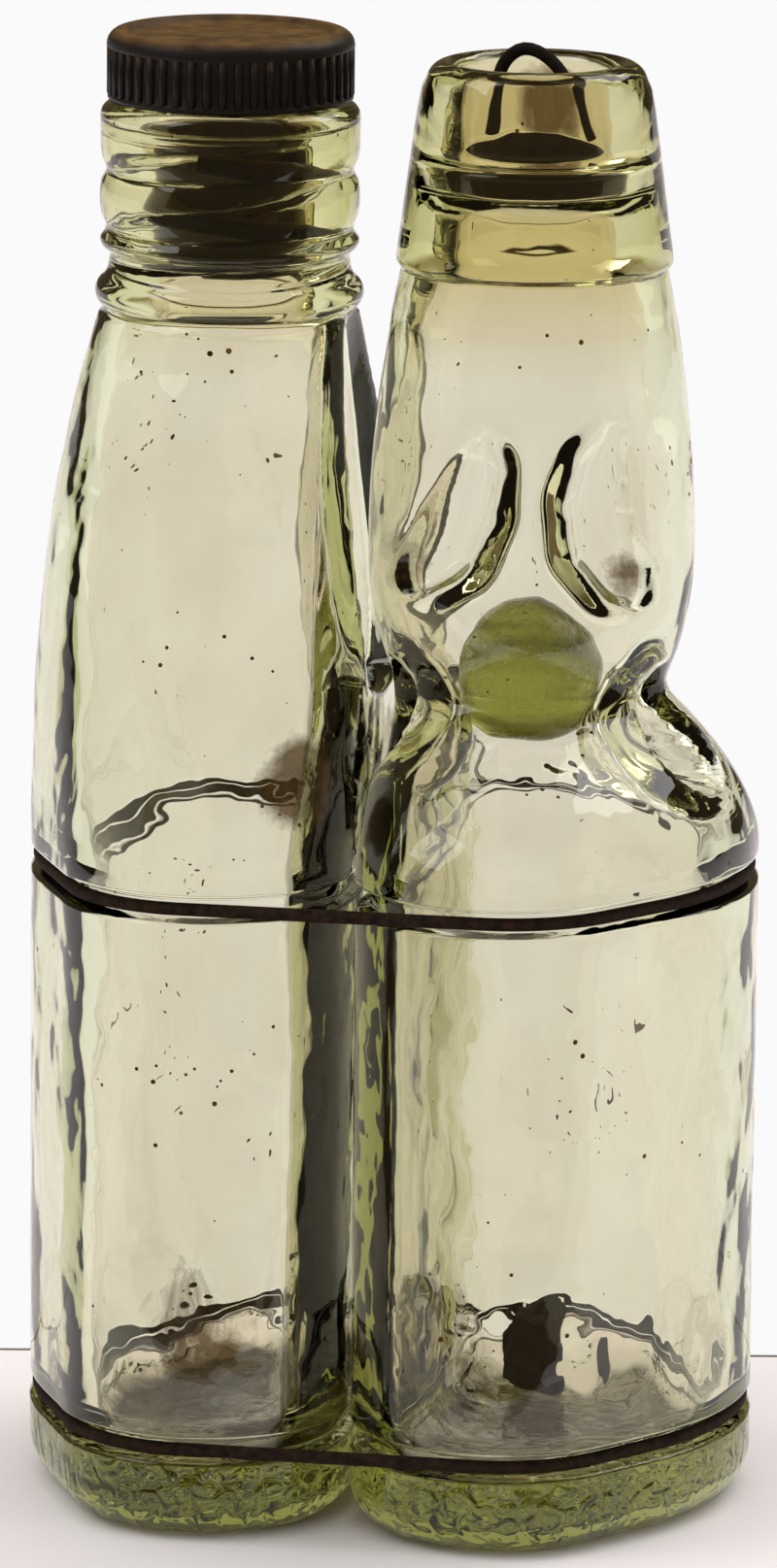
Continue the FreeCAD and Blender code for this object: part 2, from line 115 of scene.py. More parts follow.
def bottleGlass():
    # Soda-lime bottle glass, blown in a mould: clear and wavy, olive where it is thick, crackled at its
    # heel. Its inside has a tea-brown bloom that gathers in patches, its outside brown specks, and dirt is
    # caught between the two flats.
    material, tree = newMaterial("soda lime bottle glass")
    where = addNode(tree, "ShaderNodeTexCoord").outputs["Object"]
    spot = addNode(tree, "ShaderNodeSeparateXYZ", {"Vector": where}).outputs
    inside = addNode(tree, "ShaderNodeAttribute", attribute_name="innerSkin").outputs["Fac"]
    ragged = addNode(tree, "ShaderNodeTexNoise", {"Vector": where, "Scale": 230.0, "Detail": 4.0,
        "Roughness": 0.68})

    total = None
    for place, size, strength in innerStains:
        blob = addNode(tree, "ShaderNodeMath", {0: softBlob(tree, where, place, size), 1: strength},
            operation="MULTIPLY").outputs[0]
        total = blob if total is None else addNode(tree, "ShaderNodeMath", {0: total, 1: blob},
            operation="MAXIMUM").outputs[0]
    heap = addNode(tree, "ShaderNodeMath", {0: ragged.outputs["Fac"], 1: 1.1, 2: total},
        operation="MULTIPLY_ADD")
    thick = addNode(tree, "ShaderNodeMapRange", {"Value": heap, "From Min": 1.0, "From Max": 1.45,
        "To Min": 0.0, "To Max": 0.9})
    bloom = addNode(tree, "ShaderNodeMath", {0: thick, 1: inside}, operation="MULTIPLY")

    specks = addNode(tree, "ShaderNodeTexVoronoi", {"Vector": where, "Scale": glassLook["speckScale"]})
    patch = addNode(tree, "ShaderNodeTexNoise", {"Vector": where, "Scale": 75.0, "Detail": 1.0})
    size = addNode(tree, "ShaderNodeMapRange", {"Value": patch.outputs["Fac"], "From Min": 0.5,
        "From Max": 0.75, "To Min": 0.0, "To Max": 0.16})
    speck = addNode(tree, "ShaderNodeMath", {0: specks.outputs["Distance"], 1: size}, operation="LESS_THAN")
    flat = addNode(tree, "ShaderNodeMath", {0: spot["X"], 1: seamX * mm, 2: 0.0004}, operation="COMPARE")
    streak = addNode(tree, "ShaderNodeTexNoise", {"Vector": where, "Scale": 160.0, "Detail": 2.0,
        "Roughness": 0.6})
    dirty = addNode(tree, "ShaderNodeMapRange", {"Value": streak.outputs["Fac"], "From Min": 0.35,
        "From Max": 0.65, "To Min": 0.0, "To Max": 0.04})
    seamDirt = addNode(tree, "ShaderNodeMath", {0: flat, 1: dirty}, operation="MULTIPLY")
    outer = addNode(tree, "ShaderNodeMath", {0: speck, 1: seamDirt}, operation="MAXIMUM")
    crust = addNode(tree, "ShaderNodeMath", {0: bloom, 1: 0.75}, operation="MULTIPLY")
    mask = addNode(tree, "ShaderNodeMath", {0: outer, 1: crust}, operation="MAXIMUM")

    film = addNode(tree, "ShaderNodeTexNoise", {"Vector": where, "Scale": 60.0, "Detail": 2.0})
    filmTint = addNode(tree, "ShaderNodeValToRGB", {"Fac": film.outputs["Fac"]})
    filmTint.color_ramp.elements[0].position, filmTint.color_ramp.elements[0].color = 0.35, srgb("fffafa")
    filmTint.color_ramp.elements[1].position, filmTint.color_ramp.elements[1].color = 0.7, srgb("f3ebe6")
    mouth = addNode(tree, "ShaderNodeMapRange", {"Value": spot["Z"], "From Min": 0.126, "From Max": 0.14,
        "To Min": 0.0, "To Max": 0.75})
    stained = addNode(tree, "ShaderNodeMix", {0: mouth, 6: filmTint.outputs["Color"], 7: srgb("d9c990")},
        data_type="RGBA")
    weathered = addNode(tree, "ShaderNodeMix", {0: mouth, 6: srgb("fefdf9"), 7: srgb("f2e9c6")},
        data_type="RGBA")
    tint = addNode(tree, "ShaderNodeMix", {0: inside, 6: weathered.outputs[2], 7: stained.outputs[2]},
        data_type="RGBA")
    filmed = addNode(tree, "ShaderNodeMix", {0: bloom, 6: tint.outputs[2], 7: srgb("6e4c16")},
        data_type="RGBA")
    waves = addNode(tree, "ShaderNodeTexNoise", {"Vector": where, "Scale": glassLook["waveScale"],
        "Detail": 2.0, "Roughness": 0.45})
    heel = addNode(tree, "ShaderNodeMapRange", {"Value": spot["Z"], "From Min": 0.006, "From Max": 0.0095,
        "To Min": 1.0, "To Max": 0.0})
    stipple = addNode(tree, "ShaderNodeTexNoise", {"Vector": where, "Scale": glassLook["heelScale"],
        "Detail": 1.0, "Roughness": 0.5, "Distortion": 0.6})
    pressed = addNode(tree, "ShaderNodeMath", {0: stipple.outputs["Fac"], 1: heel}, operation="MULTIPLY")
    bump = addNode(tree, "ShaderNodeBump", {"Strength": 0.3, "Distance": glassLook["waveDepth"],
        "Height": waves.outputs["Fac"]})
    bump = addNode(tree, "ShaderNodeBump", {"Strength": 0.55, "Distance": glassLook["heelDepth"],
        "Height": pressed, "Normal": bump.outputs["Normal"]})
    clean = addNode(tree, "ShaderNodeBsdfPrincipled", {
        "Base Color": filmed.outputs[2], "Roughness": 0.0, "IOR": 1.51, "Transmission Weight": 1.0,
        "Normal": bump.outputs["Normal"],
    })
    brown = addNode(tree, "ShaderNodeValToRGB", {"Fac": ragged.outputs["Fac"]})
    brown.color_ramp.elements[0].position, brown.color_ramp.elements[0].color = 0.35, srgb("39260d")
    brown.color_ramp.elements[1].position, brown.color_ramp.elements[1].color = 0.7, srgb("8a6226")
    scale = addNode(tree, "ShaderNodeMix", {0: flat, 6: brown.outputs["Color"], 7: srgb("cdb86e")},
        data_type="RGBA")
    dried = addNode(tree, "ShaderNodeBsdfPrincipled", {"Base Color": scale.outputs[2], "Roughness": 0.85,
        "Specular IOR Level": 0.1})
    lit = addNode(tree, "ShaderNodeBsdfTranslucent", {"Color": scale.outputs[2]})
    dirt = addNode(tree, "ShaderNodeMixShader", {0: 0.5, 1: dried, 2: lit})
    mixed = addNode(tree, "ShaderNodeMixShader", {0: mask, 1: clean, 2: dirt})
    volume = addNode(tree, "ShaderNodeVolumeAbsorption", {"Color": (*glassLook["absorb"], 1),
        "Density": glassLook["density"]})
    addNode(tree, "ShaderNodeOutputMaterial", {"Surface": mixed, "Volume": volume})
    return material


def marbleGlass():
    # Olive green pressed glass ball: deep colour, fine scuffs and pits all over.
    material, tree = newMaterial("olive glass marble")
    where = addNode(tree, "ShaderNodeTexCoord").outputs["Object"]
    scuff = addNode(tree, "ShaderNodeTexNoise", {"Vector": where, "Scale": 700.0, "Detail": 4.0,
        "Roughness": 0.65})
    pits = addNode(tree, "ShaderNodeTexVoronoi", {"Vector": where, "Scale": 520.0})
    pit = addNode(tree, "ShaderNodeMapRange", {"Value": pits.outputs["Distance"], "From Min": 0.1,
        "From Max": 0.2, "To Min": 0.0, "To Max": 1.0})
    bump = addNode(tree, "ShaderNodeBump", {"Strength": 0.25, "Distance": 0.0004,
        "Height": scuff.outputs["Fac"]})
    pitted = addNode(tree, "ShaderNodeBump", {"Strength": 0.5, "Distance": 0.0003, "Height": pit,
        "Normal": bump.outputs["Normal"]})
    rough = addNode(tree, "ShaderNodeMapRange", {"Value": scuff.outputs["Fac"], "From Min": 0.35,
        "From Max": 0.75, "To Min": 0.1, "To Max": 0.34})
    shader = addNode(tree, "ShaderNodeBsdfPrincipled", {
        "Base Color": srgb("e6e8c0"), "Roughness": rough, "IOR": 1.5, "Transmission Weight": 1.0,
        "Normal": pitted.outputs["Normal"],
    })
    tint = addNode(tree, "ShaderNodeVolumeAbsorption", {"Color": (0.58, 0.6, 0.08, 1), "Density": 140.0})
    addNode(tree, "ShaderNodeOutputMaterial", {"Surface": shader, "Volume": tint})
    return material


def eboniteWithPaintedTopLight():
    # Hard rubber, satin, near black on its sides; its upward faces are painted lighter brown as painted top
    # light, over real browning where light and hands reached it.
    material, tree = newMaterial("ebonite with painted top light")
    where = addNode(tree, "ShaderNodeTexCoord").outputs["Object"]
    height = addNode(tree, "ShaderNodeSeparateXYZ", {"Vector": where}).outputs["Z"]
    face = addNode(tree, "ShaderNodeNewGeometry").outputs["Normal"]
    upward = addNode(tree, "ShaderNodeSeparateXYZ", {"Vector": face}).outputs["Z"]
    blotch = addNode(tree, "ShaderNodeTexNoise", {"Vector": where, "Scale": 260.0, "Detail": 5.0,
        "Roughness": 0.6})
    grain = addNode(tree, "ShaderNodeTexNoise", {"Vector": where, "Scale": 2600.0, "Detail": 3.0,
        "Roughness": 0.7})
    # painted top light: the more a face turns upwards, the lighter brown it is painted
    top = addNode(tree, "ShaderNodeMapRange", {"Value": upward, "From Min": 0.25, "From Max": 0.95,
        "To Min": 0.0, "To Max": 1.0})
    mask = addNode(tree, "ShaderNodeMath", {0: top, 1: blotch.outputs["Fac"], 2: -0.05},
        operation="MULTIPLY_ADD")
    colours = addNode(tree, "ShaderNodeValToRGB", {"Fac": mask})
    ramp = colours.color_ramp
    # from the rubber's near black up to 7a5a2c, the brown of the painted top light
    ramp.elements[0].position = 0.0
    ramp.elements[0].color = srgb("15110e")
    ramp.elements[1].position = 1.0
    ramp.elements[1].color = srgb("7a5a2c")
    for position, text in ((0.12, "1d1713"), (0.35, "4a3318"), (0.6, "654a22")):
        ramp.elements.new(position).color = srgb(text)
    bump = addNode(tree, "ShaderNodeBump", {"Strength": 0.35, "Distance": 0.0002,
        "Height": grain.outputs["Fac"]})
    rough = addNode(tree, "ShaderNodeMapRange", {"Value": grain.outputs["Fac"], "From Min": 0.3,
        "From Max": 0.7, "To Min": 0.36, "To Max": 0.55})
    shader = addNode(tree, "ShaderNodeBsdfPrincipled", {
        "Base Color": colours.outputs["Color"], "Roughness": rough, "Specular IOR Level": 0.2,
        "Normal": bump.outputs["Normal"],
    })
    addNode(tree, "ShaderNodeOutputMaterial", {"Surface": shader})
    return material


def dullMaterial(name, low, high, scale, roughness, depth):
    # Blotchy two-tone surface with a grain of its own, for rubber, rust and cork.
    material, tree = newMaterial(name)
    where = addNode(tree, "ShaderNodeTexCoord").outputs["Object"]
    blotch = addNode(tree, "ShaderNodeTexNoise", {"Vector": where, "Scale": scale, "Detail": 6.0,
        "Roughness": 0.65})
    colours = addNode(tree, "ShaderNodeValToRGB", {"Fac": blotch.outputs["Fac"]})
    colours.color_ramp.elements[0].position = 0.35
    colours.color_ramp.elements[0].color = srgb(low)
    colours.color_ramp.elements[1].position = 0.68
    colours.color_ramp.elements[1].color = srgb(high)
    grain = addNode(tree, "ShaderNodeTexNoise", {"Vector": where, "Scale": scale * 4, "Detail": 4.0,
        "Roughness": 0.7})
    bump = addNode(tree, "ShaderNodeBump", {"Strength": 0.7, "Distance": depth,
        "Height": grain.outputs["Fac"]})
    shader = addNode(tree, "ShaderNodeBsdfPrincipled", {
        "Base Color": colours.outputs["Color"], "Roughness": roughness, "Specular IOR Level": 0.15,
        "Normal": bump.outputs["Normal"],
    })
    addNode(tree, "ShaderNodeOutputMaterial", {"Surface": shader})
    return material


glassMaterial = bottleGlass()
marbleMaterial = marbleGlass()
eboniteMaterial = eboniteWithPaintedTopLight()
ringRubber = dullMaterial("perished ring rubber", "120c08", "2f2011", 500.0, 0.62, 0.0003)
washerRubber = dullMaterial("perished washer rubber", "1c0d08", "3b1d10", 500.0, 0.7, 0.0003)
rustyIron = dullMaterial("rusted iron wire", "120b08", "34200f", 900.0, 0.75, 0.0004)
darkIron = dullMaterial("blackened iron wire", "0b0806", "24180e", 1100.0, 0.65, 0.0003)
oldCork = dullMaterial("soaked old cork", "0c0905", "271d12", 420.0, 0.9, 0.0009)
print("materials made")

# Both glass halves are made of rings, one at each height, with a point at each of these angles round the
# neck.
ringPoints = 208
angles = np.arange(ringPoints) * 2 * np.pi / ringPoints
supportAngles = np.arange(900) * 2 * np.pi / 900
supportDirections = np.stack([np.cos(supportAngles), np.sin(supportAngles)], 1)
facing = np.cos(angles[:, None] - supportAngles[None, :])
facing = np.where(facing > 0.02, facing, np.nan)


def hullRadius(circles, centreX, inset):
    # distance from the axis to the plan of a half, for each ring angle: end arc, then a corner arc each
    # side
    (x0, y0, r0), (x1, y1, r1), (x2, y2, r2) = circles
    tangent = math.atan2(y1 - y0, x1 - x0) - math.pi / 2 + math.asin((r0 - r1) / math.hypot(x1 - x0,
        y1 - y0))
    end, back, front = [supportDirections @ np.array([x - centreX, y]) + r - inset for x, y, r in circles]
    reach = np.where(np.cos(supportAngles) >= math.cos(tangent), end, np.maximum(back, front))
    return np.nanmin(reach[None, :] / facing, axis=1)


def smoothMax(a, b, k):
    h = np.clip(0.5 + 0.5 * (a - b) / k, 0, 1)
    return b + (a - b) * h + k * h * (1 - h)


def smoothMin(a, b, k):
    return -smoothMax(-a, -b, k)


# Sizes in mm, as the solids have them.
plan = {"endRadius": 33.5, "cornerRadius": 16.5, "flatGap": 0.15, "outerCorner": 1.2, "innerCorner": 4.0}
foot = {"hollow": 1.5, "rim": 12.5, "slope": 4.0, "heel": 5.0, "floor": 7.0, "floorCorner": 6.0}
binding = {"heights": (70.9, 10.4), "groove": 1.85, "sunk": 1.1, "radius": 0.74, "unevenness": 0.16}
barrel = {"radius": 18.0, "height": 106, "endRadius": 14.3, "waist": 90.5, "top": 138.8}
bore = {"radius": 8.45, "threadDepth": 1.15, "pitch": 6.5, "start": 136.8}


def planCircles(width):
    end, corner = plan["endRadius"], plan["cornerRadius"]
    return [(width - end, 0.0, end), (corner, end - corner, corner), (corner, corner - end, corner)]


def blendCircles(width, axis, share, reach):
    # from the D of the body at share 1 to a circle round the axis at share 0
    roundPart = (reach - share * (width - axis)) / max(1 - share, 1e-6)
    return [
        (share * x + (1 - share) * axis, share * y, share * r + (1 - share) * roundPart)
        for x, y, r in planCircles(width)
    ]


def ripple(points, seed, size, amount):
    # low waves summed from a few directions, as poured and blown glass has
    rng = np.random.default_rng(seed)
    total = np.zeros(len(points))
    for _ in range(14):
        k = rng.normal(size=3)
        k = k / np.linalg.norm(k) * 2 * np.pi / (size * rng.uniform(0.6, 1.8))
        total += np.sin(points @ k + rng.uniform(0, 6.28)) * rng.uniform(0.4, 1.0)
    return total * amount / 3.0


def grooveDepth(z):
    # where a binding wire has bedded into the glass
    total = 0.0
    for centre in binding["heights"]:
        near = np.clip((1.5 - abs(z - centre)) / 0.5, 0, 1)
        total += binding["groove"] * near ** 2 * (3 - 2 * near)
    return total


ballHalf = {
    "width": 41.5, "axis": 16.0, "wall": 4.2, "neckWall": 3.6, "bodyTop": 73.5, "waist": 90.5,
    "seamWall": 6.4,
}
screwHalf = {
    "width": 39.5, "axis": 18.0, "wall": 4.2, "bodyTop": 73.5, "collar": 131.5, "collarRadius": 14.3,
    "hollow": 5.0, "hollowWall": 3.0, "rimGap": 3.0, "seamWall": 5.4,
}


def barrelRadius(z, growth):
    # neck of the ball half: upright at the bulge, bent in towards waist and lip
    b = barrel
    fall, run = b["radius"] - b["endRadius"], abs(b["waist" if z < b["height"] else "top"] - b["height"])
    bend = (fall * fall + run * run) / (2 * fall) + growth
    return b["radius"] + growth - bend + math.sqrt(max(bend * bend - (z - b["height"]) ** 2, 1.0))


# Each dent is a string of balls: turn round the axis, height, depth of its floor from the axis, ball size.
dentStrings = [
    [(-148.5, 84.0, 14.0, 1.6), (-148.5, 85.2, 11.6, 3.4), (-148.5, 86.8, 10.9, 4.0),
    (-148.5, 90.5, 12.6, 3.0), (-148.5, 93, 14.4, 1.4)],
    [(-16.5, 84.0, 14.0, 1.6), (-16.5, 85.2, 11.6, 3.4), (-16.5, 86.8, 10.9, 4.0),
    (-16.5, 90.5, 12.6, 3.0), (-16.5, 93, 14.4, 1.4)],
    [(-99, 121.6, 16.4, 0.8), (-102, 117.2, 14.5, 2.6), (-107, 112.7, 13.6, 3.3), (-114, 108.4, 13.7, 3.3),
    (-126, 105.2, 15.2, 2.3)],
    [(-50, 122, 16.4, 0.8), (-55, 117.7, 14.7, 2.3), (-56, 113.7, 13.7, 3.0), (-53, 109.2, 13.5, 3.2),
    (-45, 105.8, 14.2, 2.8), (-38, 103.6, 16.0, 1.6)],
]


def dentBalls(growths):
    balls = []
    for string, growth in zip(dentStrings, growths):
        string = np.array(string, float)
        for s in np.linspace(0, len(string) - 1, 6 * len(string) - 5):
            turn, z, floor, size = [np.interp(s, range(len(string)), string[:, k]) for k in range(4)]
            turn = math.radians(turn)
            balls.append((math.cos(turn), math.sin(turn), floor + size, z, size + growth))
    return balls


def dented(radius, z, balls, soften):
    # first place where a ray from the axis meets the neck's skin or a dent, which opens outwards
    near = [b for b in balls if abs(b[3] - z) < b[4] + 4]
    if not near:
        return radius
    t = np.linspace(0.25, 1.02, 120)[None, :] * radius[:, None]
    x, y = t * np.cos(angles)[:, None], t * np.sin(angles)[:, None]
    inside = np.full(t.shape, -99.0)
    for alongX, alongY, reach, bz, size in near:
        out = x * alongX + y * alongY - reach
        side = x * alongY - y * alongX
        behind = np.maximum(-out, 0)
        gap = np.sqrt(side ** 2 + (z - bz) ** 2 + behind ** 2)
        inside = np.maximum(inside, size + 0.05 * np.maximum(out, 0) - gap)
    field = smoothMax(t - radius[:, None], inside, soften)
    outside = field > 0
    first = np.argmax(outside, axis=1)
    rows = np.arange(len(radius))
    before = np.maximum(first - 1, 0)
    a, b = field[rows, before], field[rows, first]
    share = np.where(first > 0, -a / np.where(b - a == 0, 1, b - a), 0)
    found = t[rows, before] + share * (t[rows, first] - t[rows, before])
    found = np.where(outside.any(axis=1), found, radius)
    spread = np.array([1, 2, 3, 2, 1]) / 9
    return np.convolve(np.concatenate([found[-2:], found, found[:2]]), spread, "valid")


def seamCut(radius, axis, gap, k):
    # keeps a half on its own side of the seam
    away = -np.cos(angles)
    flat = np.where(away > 0.05, (axis - gap) / np.where(away > 0.05, away, 1), 999.0)
    return smoothMin(radius, flat, k)


outerDents, innerDents = dentBalls([0.0] * 4), dentBalls([3.6, 3.6, 2.9, 2.9])


def seamWall(z, thick):
    # glass between flat and cavity: much thicker in the body, where its long paths look olive
    fade = np.clip((z - 74) / 14, 0, 1)
    return thick + (4.3 - thick) * fade * fade * (3 - 2 * fade)


def seamFlat(z, h, inner, outerCorner):
    # how far a skin's flat lies from the seam, and how softly it turns into its plan
    if inner:
        return plan["flatGap"] + seamWall(z, h["seamWall"]), plan["innerCorner"]
    return plan["flatGap"], outerCorner


def ballSkin(z, inner):
    h = ballHalf
    inset = grooveDepth(z)
    if inner:
        thinning = min(max(0, 1 - (z - h["bodyTop"]) / 6), 1)
        inset = h["neckWall"] + (h["wall"] - h["neckWall"]) * thinning
    end = h["width"] - h["axis"]
    if z <= h["bodyTop"]:
        radius = hullRadius(planCircles(h["width"]), h["axis"], inset)
    else:
        t = (z - h["bodyTop"]) / (h["waist"] + 1.2 - h["bodyTop"])
        share = max(1 - t ** 1.7, 0.02)
        reach = 14.0 + (end - 14.0) * share - max(0, z - 91.7) * 0.9
        radius = hullRadius(blendCircles(h["width"], h["axis"], share, max(reach, 5.0)), h["axis"], inset)
        neck = barrelRadius(max(z, 84.0), -h["neckWall"] if inner else 0.0) - max(0, 84.0 - z) * 1.2
        neck = np.full(ringPoints, neck)
        front = np.sin(angles) ** 2
        settle = 1.1 * front * math.exp(-((z - 91) / 7) ** 2)
        radius = smoothMax(radius - settle, neck - settle, 2.2 + 5.5 * front)
    if z < h["waist"]:
        radius = seamCut(radius, h["axis"], *seamFlat(z, h, inner, plan["outerCorner"]))
    if 70 < z < 125:
        radius = dented(radius, z, innerDents if inner else outerDents, 1.2 if inner else 1.0)
    return radius


def screwSkin(z, inner):
    h = screwHalf
    inset = h["wall"] if inner else grooveDepth(z)
    end = h["width"] - h["axis"]
    if z <= h["bodyTop"]:
        radius = hullRadius(planCircles(h["width"]), h["axis"], inset)
    else:
        t = min((z - h["bodyTop"]) / (h["collar"] - h["bodyTop"]), 1.0)
        share = max((1 - t) ** 1.8 + 0.09 * t * (1 - t), 0.02)
        radius = hullRadius(blendCircles(h["width"], h["axis"], share,
            end - (end - h["collarRadius"]) * t ** 2.6), h["axis"], inset)
    radius = seamCut(radius, h["axis"], *seamFlat(z, h, inner, 1.6))
    if 86 < z < 137:
        # scooped out round the other half's neck, deepest in the middle and close to the neck at its rims
        between = ballHalf["axis"] + h["axis"]
        corner, across = plan["cornerRadius"], np.zeros(ringPoints)
        for _ in range(4):
            middle = np.cos(np.clip(across / corner, -1, 1) * np.pi / 2) ** 2
            deep = h["rimGap"] + (h["hollow"] - h["rimGap"]) * middle + (h["hollowWall"] if inner else 0.0)
            bulge = barrelRadius(z, 0.0) + deep - max(0, 91.5 - z) * 1.6
            under = bulge ** 2 - (between * np.sin(angles)) ** 2
            entry = -between * np.cos(angles) - np.sqrt(np.maximum(under, 0))
            entry = np.where((under > 0) & (np.cos(angles) < 0), entry, 999.0)
            across = np.where(entry < 900, entry * np.sin(angles), corner)
        radius = smoothMin(radius, entry, 0.5)
    return radius


def roundCorner(x, z, radius, start, end, steps=6):
    return [(x + radius * math.cos(math.radians(a)), z + radius * math.sin(math.radians(a)))
        for a in np.linspace(start, end, steps)]


def stations(*spans):
    heights = []
    for low, high, step in spans:
        heights += list(np.linspace(low, high, max(2, round(abs(high - low) / step) + 1))[:-1])
    return heights + [spans[-1][1]]


def footRings(half):
    # hollow under the base, its slope down to the flat rim, and the rounded heel
    circles, axis = planCircles(half["width"]), half["axis"]
    flat = hullRadius(circles, axis, foot["rim"])
    rings = [(flat * s, foot["hollow"]) for s in (0.02, 0.25, 0.5, 0.75, 1.0)]
    for s in (0.5, 1.0):
        rings.append((hullRadius(circles, axis, foot["rim"] - foot["slope"] * s), foot["hollow"] * (1 - s)))
    for a in np.radians(np.linspace(0, 90, 12)):
        heel = hullRadius(circles, axis, foot["heel"] * (1 - math.sin(a)))
        heel = seamCut(heel, axis, plan["flatGap"], plan["outerCorner"])
        rings.append((heel, foot["heel"] * (1 - math.cos(a))))
    return rings


def floorRings(half):
    # rounded inner corner, then the floor in to its middle
    rings = []
    for a in np.radians(np.linspace(90, 0, 9)):
        pulled = foot["floorCorner"] * (1 - math.sin(a))
        corner = hullRadius(planCircles(half["width"]), half["axis"], half["wall"] + pulled)
        corner = seamCut(corner, half["axis"], plan["flatGap"] + half["seamWall"] + pulled,
            plan["innerCorner"])
        rings.append((corner, foot["floor"] + foot["floorCorner"] * (1 - math.cos(a))))
    last = rings[-1][0]
    return rings + [(last * s, foot["floor"]) for s in (0.8, 0.6, 0.4, 0.2, 0.02)]


def ballRings():
    rings = footRings(ballHalf)
    for z in stations((5.4, 8.4, 0.6), (8.4, 12.4, 0.22), (12.4, 68.6, 1.5), (68.6, 73.2, 0.24),
            (73.2, 137.2, 0.5)):
        rings.append((ballSkin(z, False), z))
    lip = [(14.5, 137.55), (14.75, 137.6)] + roundCorner(14.4, 138.4, 0.8, -60, 8, 5)
    lip += [(15.12, 139.5), (14.6, 143.2), (14.1, 147.0), (13.55, 151.0), (13.0, 155.0), (12.55, 157.3)]
    lip += roundCorner(9.75, 157.7, 2.4, 15, 90, 9) + roundCorner(10.1, 158.6, 1.5, 100, 180, 8)
    lip += [(8.6, 156.5), (8.6, 153.5), (8.6, 151.0), (8.65, 149.6), (8.9, 149.42), (10.2, 149.4),
        (10.2, 148.0), (10.2, 146.6), (10.15, 145.65), (9.2, 145.6), (8.9, 145.5), (8.9, 143.0),
        (8.95, 140.5), (9.2, 138.6)]
    rings += [(np.full(ringPoints, r), z) for r, z in lip]
    mouth = len(rings) - 16       # the lip's last rings lie inside the mouth
    for z in stations((137.0, 75.5, 0.55), (75.5, 71.5, 0.5), (71.5, 13.2, 1.8)):
        rings.append((ballSkin(z, True), z))
    return rings + floorRings(ballHalf), mouth


def threadRadius(z):
    # right-hand groove for the stopper's thread inside the lip
    pitch = bore["pitch"]
    turn = np.mod(angles / (2 * np.pi) * pitch + z - bore["start"] + pitch / 2, pitch) - pitch / 2
    depth = np.clip((1.9 - np.abs(turn)) / 0.8, 0, 1)
    fade = np.clip((z - 133.5) / 1.5, 0, 1) * np.clip((151.2 - z) / 0.6, 0, 1)
    return bore["radius"] + bore["threadDepth"] * depth * fade


def screwRings():
    rings = footRings(screwHalf)
    for z in stations((5.4, 8.4, 0.6), (8.4, 12.4, 0.22), (12.4, 68.6, 1.5), (68.6, 73.2, 0.24),
            (73.2, 131.2, 0.6)):
        rings.append((screwSkin(z, False), z))
    lip = roundCorner(12.8, 133.6, 2.0, -62, 62, 9) + [(13.35, 136.3), (13.25, 137.2)]
    lip += roundCorner(12.8, 139.5, 1.5, -80, -10, 6)
    lip += [(14.2, 139.6), (13.75, 140.2), (13.6, 140.7), (13.75, 141.3), (14.15, 142.2), (14.3, 143.4),
        (14.3, 144.8), (14.15, 145.9), (13.75, 146.6), (13.6, 147.1), (13.75, 147.6), (14.15, 148.5),
        (14.3, 149.6), (14.3, 151.4)]
    lip += roundCorner(12.8, 153.0, 1.5, 0, 90, 7) + [(11.9, 154.5), (11.0, 154.4), (10.6, 154.1),
        (10.5, 153.4), (10.5, 152.2), (10.4, 151.8), (9.6, 151.75)]
    rings += [(np.full(ringPoints, r), z) for r, z in lip]
    mouth = len(rings) - 4        # the lip's last rings lie inside the mouth
    for z in stations((151.5, 133.4, 0.36)):
        rings.append((threadRadius(z), z))
    for z in stations((133.0, 128.0, 0.5)):
        rings.append((np.minimum(screwSkin(min(z, 131.4), True), bore["radius"] + (133.0 - z) * 0.7), z))
    for z in stations((127.4, 75.5, 0.8), (75.5, 13.2, 1.9)):
        rings.append((screwSkin(z, True), z))
    return rings + floorRings(screwHalf), mouth


def glassMesh(name, rings, axis, side, seed):
    rings, mouth = rings
    count = len(rings)
    radius = np.array([r for r, z in rings])
    height = np.array([z for r, z in rings])[:, None] + np.zeros((count, ringPoints))
    x, y = radius * np.cos(angles), radius * np.sin(angles)
    points = np.stack([x, y, height], -1).reshape(-1, 3)
    reach = np.hypot(points[:, 0], points[:, 1])
    isInner = np.repeat(np.arange(count) >= mouth, ringPoints)
    # Outer skin only dips inwards, so that it stays in its own box; the inner skin waves more.
    outward = np.stack([points[:, 0], points[:, 1]], 1) / np.maximum(reach, 1e-6)[:, None]
    wave = np.where(
        isInner,
        ripple(points, seed, 15.0, 0.2) + ripple(points * [1, 1, 0.3], seed + 1, 5.5, 0.035),
        -np.abs(ripple(points, seed + 2, 16.0, 0.12)) - 0.02,
    )
    fade = np.clip((reach - 3) / 6, 0, 1) * np.where(points[:, 2] > 132, 0.25, 1.0)
    points[:, :2] += outward * (wave * fade)[:, None]
    points[:, 0] = side * (points[:, 0] + axis) + seamX
    if side > 0:
        held = np.where(points[:, 2] < ballHalf["waist"], seamX + plan["flatGap"], -99)
        points[:, 0] = np.maximum(points[:, 0], held)
    else:
        points[:, 0] = np.minimum(points[:, 0], seamX - plan["flatGap"])
    faces = []
    index = np.arange(ringPoints)
    following = (index + 1) % ringPoints
    for i in range(count - 1):
        a, b = i * ringPoints, (i + 1) * ringPoints
        quad = np.stack([a + index, a + following, b + following, b + index], 1)
        faces.append(quad if side > 0 else quad[:, ::-1])
    faces = np.concatenate(faces).tolist()
    first = list(range(ringPoints))
    last = [(count - 1) * ringPoints + i for i in range(ringPoints)]
    faces.append(first[::-1] if side > 0 else first)
    faces.append(last if side > 0 else last[::-1])
    glass = meshObject(name, points * mm, faces, glassMaterial)
    skin = glass.data.attributes.new("innerSkin", "FLOAT", "POINT")
    skin.data.foreach_set("value", isInner.astype(np.float32))
    return glass


